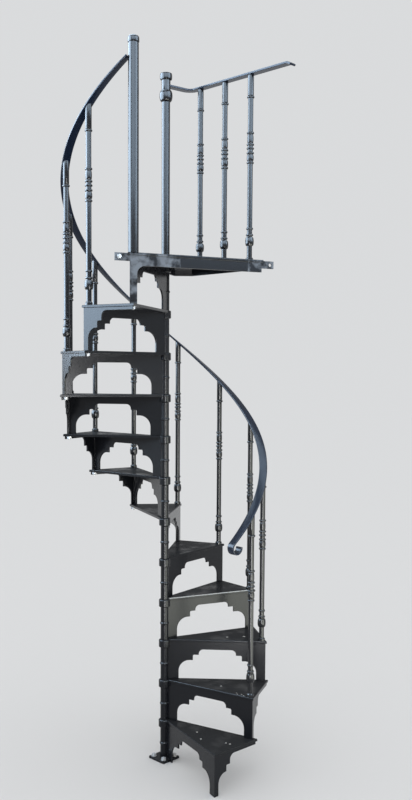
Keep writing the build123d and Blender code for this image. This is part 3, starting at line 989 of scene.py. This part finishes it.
class STAIR_OT_fixings(bpy.types.Operator):
    """Set the nuts under the treads, on the base bolts and on the left lug"""

    bl_idname = "stair.fixings"
    bl_label = "Set Fixings"

    def execute(self, context):
        sizes = context.scene.stair_sizes
        fixing = context.scene.stair_fixing
        mounts = {mount["name"]: mount for mount in frame["record"]["mounts"]}
        paint = zinc_finish(context.scene.stair_finish)
        tree = fixings_tree(paint)

        def set_nuts(name, places, outward, nut_radius, washer_radius):
            """Nuts on points, all facing one way."""
            piece = line_of_points(name, places, "outward", [outward] * len(places), False)
            nut = {"Nut Radius": nut_radius, "Nut Height": fixing.nut_height}
            nut |= {"Washer Radius": washer_radius, "Shank": fixing.shank}
            finished(grown(piece, tree, sharp=radians(30), **nut), paint, "casting")

        places = []
        for number, azimuth in enumerate(nosing_azimuths(sizes)[1:], start=1):
            beside = radial(azimuth + radians(90)) * fixing.behind
            place = radial(azimuth) * (sizes.corner_radius - fixing.inward) + beside
            places.append(place + raised(number * sizes.rise - sizes.plate))
        set_nuts("leg_nuts", places, raised(-1), fixing.nut_radius, fixing.washer_radius)

        circle = mounts["base_bolts"]["dims"]["pcd_mm"] * HALF_MM
        top = raised(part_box("base_plate")[1][2])
        corners = [sizes.base_turn + radians(45 + 90 * step) for step in range(4)]
        places = [radial(corner) * circle + top for corner in corners]
        set_nuts("base_nuts", places, raised(1), fixing.nut_radius, fixing.washer_radius)

        lugs = mounts["landing_bolts"]
        outward = Vector(lugs["axis"])
        aside = outward.cross(raised(1)) * lugs["dims"]["spacing_x_mm"] * HALF_MM
        set_nuts("lug_bolt", [Vector(lugs["pos_m"]) + aside], outward, fixing.lug_nut, fixing.lug_nut)
        return {"FINISHED"}


class STAIR_OT_flecks_and_highlight(bpy.types.Operator):
    """Lay the pale flecks on the treads and the painted highlight line on one nosing"""

    bl_idname = "stair.wear"
    bl_label = "Add Flecks and Nosing Highlight"

    def execute(self, context):
        sizes = context.scene.stair_sizes
        # wear holds the sizes of the painted highlight line on one nosing
        wear = context.scene.stair_wear
        paint = pale_finish(context.scene.stair_finish)
        nosings = nosing_azimuths(sizes)

        places, spans = [], []
        for tread, distance, past, radius in FLECKS:
            place = radial(nosings[tread - 1] + radians(past)) * distance
            places.append(place + raised(tread * sizes.rise))
            spans.append(Vector((radius, radius, radius)))
        piece = line_of_points("flecks", places, "size", spans, False)
        finished(grown(piece, flecks_tree(paint), sharp=radians(60)), paint, "casting")

        # Painted highlight: a pale strip along the rounded arris of one nosing stands in for the light that
        # gleams on it
        azimuth = nosings[HIGHLIGHT_TREAD - 1]
        along = radial(azimuth)
        ahead = radial(azimuth - radians(90))
        outward = (ahead + raised(1)).normalized()
        down = (ahead - raised(1)).normalized()
        seat = raised(HIGHLIGHT_TREAD * sizes.rise) - outward * sizes.edge_round * (sqrt(2) - 1)
        steps = 12
        reach = wear.line_end - wear.line_start
        points = [seat + along * (wear.line_start + reach * step / steps) for step in range(steps + 1)]
        piece = line_of_points("worn_nosing", points, "across", [down] * len(points), True)
        line = {"Width": wear.line_width, "Thickness": wear.line_depth, "Rounding": wear.line_depth / 3}
        finished(grown(piece, flat_bar_tree(paint), **line), paint, "casting")
        return {"FINISHED"}


class STAIR_OT_stage(bpy.types.Operator):
    """Make the floor, the lights and the camera"""

    bl_idname = "stair.stage"
    bl_label = "Make Stage"

    def execute(self, context):
        scene = context.scene
        view = scene.stair_view
        scene.view_settings.view_transform = "Standard"

        camera = linked("camera", bpy.data.cameras.new("camera"))
        scene.camera = camera
        camera.data.sensor_width = SENSOR
        camera.data.lens = view.focal * SENSOR / IMAGE_HEIGHT
        camera.data.shift_x = (IMAGE_WIDTH / 2 - view.centre_x) / IMAGE_HEIGHT
        camera.data.shift_y = (view.centre_y - IMAGE_HEIGHT / 2) / IMAGE_HEIGHT
        turn = Matrix.Rotation(view.azimuth, 4, "Z")
        place = Matrix.Translation((0, -view.distance, view.height))
        aim = (
            Matrix.Rotation(-view.yaw, 4, "Z")
            @ Matrix.Rotation(radians(90) + view.pitch, 4, "X")
            @ Matrix.Rotation(-view.roll, 4, "Z")
        )
        camera.matrix_world = turn @ place @ aim

        bpy.ops.mesh.primitive_plane_add(size=view.floor_size)
        floor = context.object
        floor.name = "floor"
        floor.data.materials.append(self.pale_floor(view))

        for panel in PANELS:
            self.lamp(view, *panel)
        self.world(scene, view)
        return {"FINISHED"}

    def pale_floor(self, view):
        """Pale matt floor that holds the object's soft shadow."""
        material, _, shader = new_material("pale floor")
        shader.inputs["Base Color"].default_value = (*view.pale, 1)
        shader.inputs["Roughness"].default_value = 0.9
        shader.inputs["Specular IOR Level"].default_value = 0
        return material

    def lamp(self, view, name, left, distance, height, width, length, radiance, tint, matt):
        """Rectangular panel that faces the stair; without matt it shows only in the gloss."""
        data = bpy.data.lights.new(name, "AREA")
        data.shape = "RECTANGLE"
        data.size, data.size_y = width, length
        data.energy = radiance * pi * width * length
        data.color = getattr(view, tint)
        lamp = linked(name, data)
        lamp.visible_camera = False
        lamp.visible_diffuse = matt
        turn = Matrix.Rotation(view.azimuth - radians(left), 3, "Z")
        place = turn @ Vector((0, -distance, height))
        facing = (raised(view.aim) - place).to_track_quat("-Z", "Y")
        lamp.matrix_world = Matrix.Translation(place) @ facing.to_matrix().to_4x4()

    def world(self, scene, view):
        """Soft white sky, seen as the pale background by the camera and in gloss."""
        world = bpy.data.worlds.new("soft sky")
        scene.world = world
        world.use_nodes = True
        tree = world.node_tree
        soft = tree.nodes["Background"]
        soft.inputs["Color"].default_value = (1, 1, 1, 1)
        seen = add_node(tree, "ShaderNodeBackground", Color=(*view.pale, 1))
        path = add_node(tree, "ShaderNodeLightPath").outputs
        rays = path["Is Camera Ray"]
        for kind in ("Is Glossy Ray", "Is Transmission Ray"):
            rays = worked_out(tree, "MAXIMUM", rays, path[kind])
        chosen = add_node(tree, "ShaderNodeMixShader", Fac=rays)
        for index, shader in enumerate((soft, seen), start=1):
            fill(tree, chosen.inputs[index], shader.outputs["Background"])
        feed(tree, tree.nodes["World Output"], Surface=chosen.outputs["Shader"])


class STAIR_PT_panel(bpy.types.Panel):
    """Staircase tools"""

    bl_idname = "STAIR_PT_panel"
    bl_label = "Staircase"
    bl_space_type = "VIEW_3D"
    bl_region_type = "UI"
    bl_category = "Staircase"

    def draw(self, context):
        for each in OPERATORS:
            self.layout.operator(each.bl_idname)


OPERATORS = (
    STAIR_OT_castings,
    STAIR_OT_column,
    STAIR_OT_balusters,
    STAIR_OT_handrails,
    STAIR_OT_landing_rail,
    STAIR_OT_fixings,
    STAIR_OT_flecks_and_highlight,
    STAIR_OT_stage,
)
SETTINGS = {
    "stair_sizes": StairSizes,
    "stair_rail": RailSizes,
    "stair_fixing": FixingSizes,
    "stair_wear": HighlightLineSizes,
    "stair_finish": StairFinish,
    "stair_view": StairView,
}
CLASSES = (*SETTINGS.values(), *OPERATORS, STAIR_PT_panel)


def register():
    """Registers the classes and puts their settings on the scene."""
    for each in CLASSES:
        bpy.utils.register_class(each)
    for name, group in SETTINGS.items():
        setattr(bpy.types.Scene, name, PointerProperty(type=group))


def unregister():
    """Takes the settings and the classes away."""
    for name in SETTINGS:
        delattr(bpy.types.Scene, name)
    for each in reversed(CLASSES):
        bpy.utils.unregister_class(each)


def main():
    """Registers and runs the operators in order."""
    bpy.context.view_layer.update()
    register()
    bpy.ops.stair.castings()
    bpy.ops.stair.column()
    bpy.ops.stair.balusters()
    bpy.ops.stair.handrails()
    bpy.ops.stair.landing_rail()
    bpy.ops.stair.fixings()
    bpy.ops.stair.wear()
    bpy.ops.stair.stage()


if __name__ == "__main__":
    main()
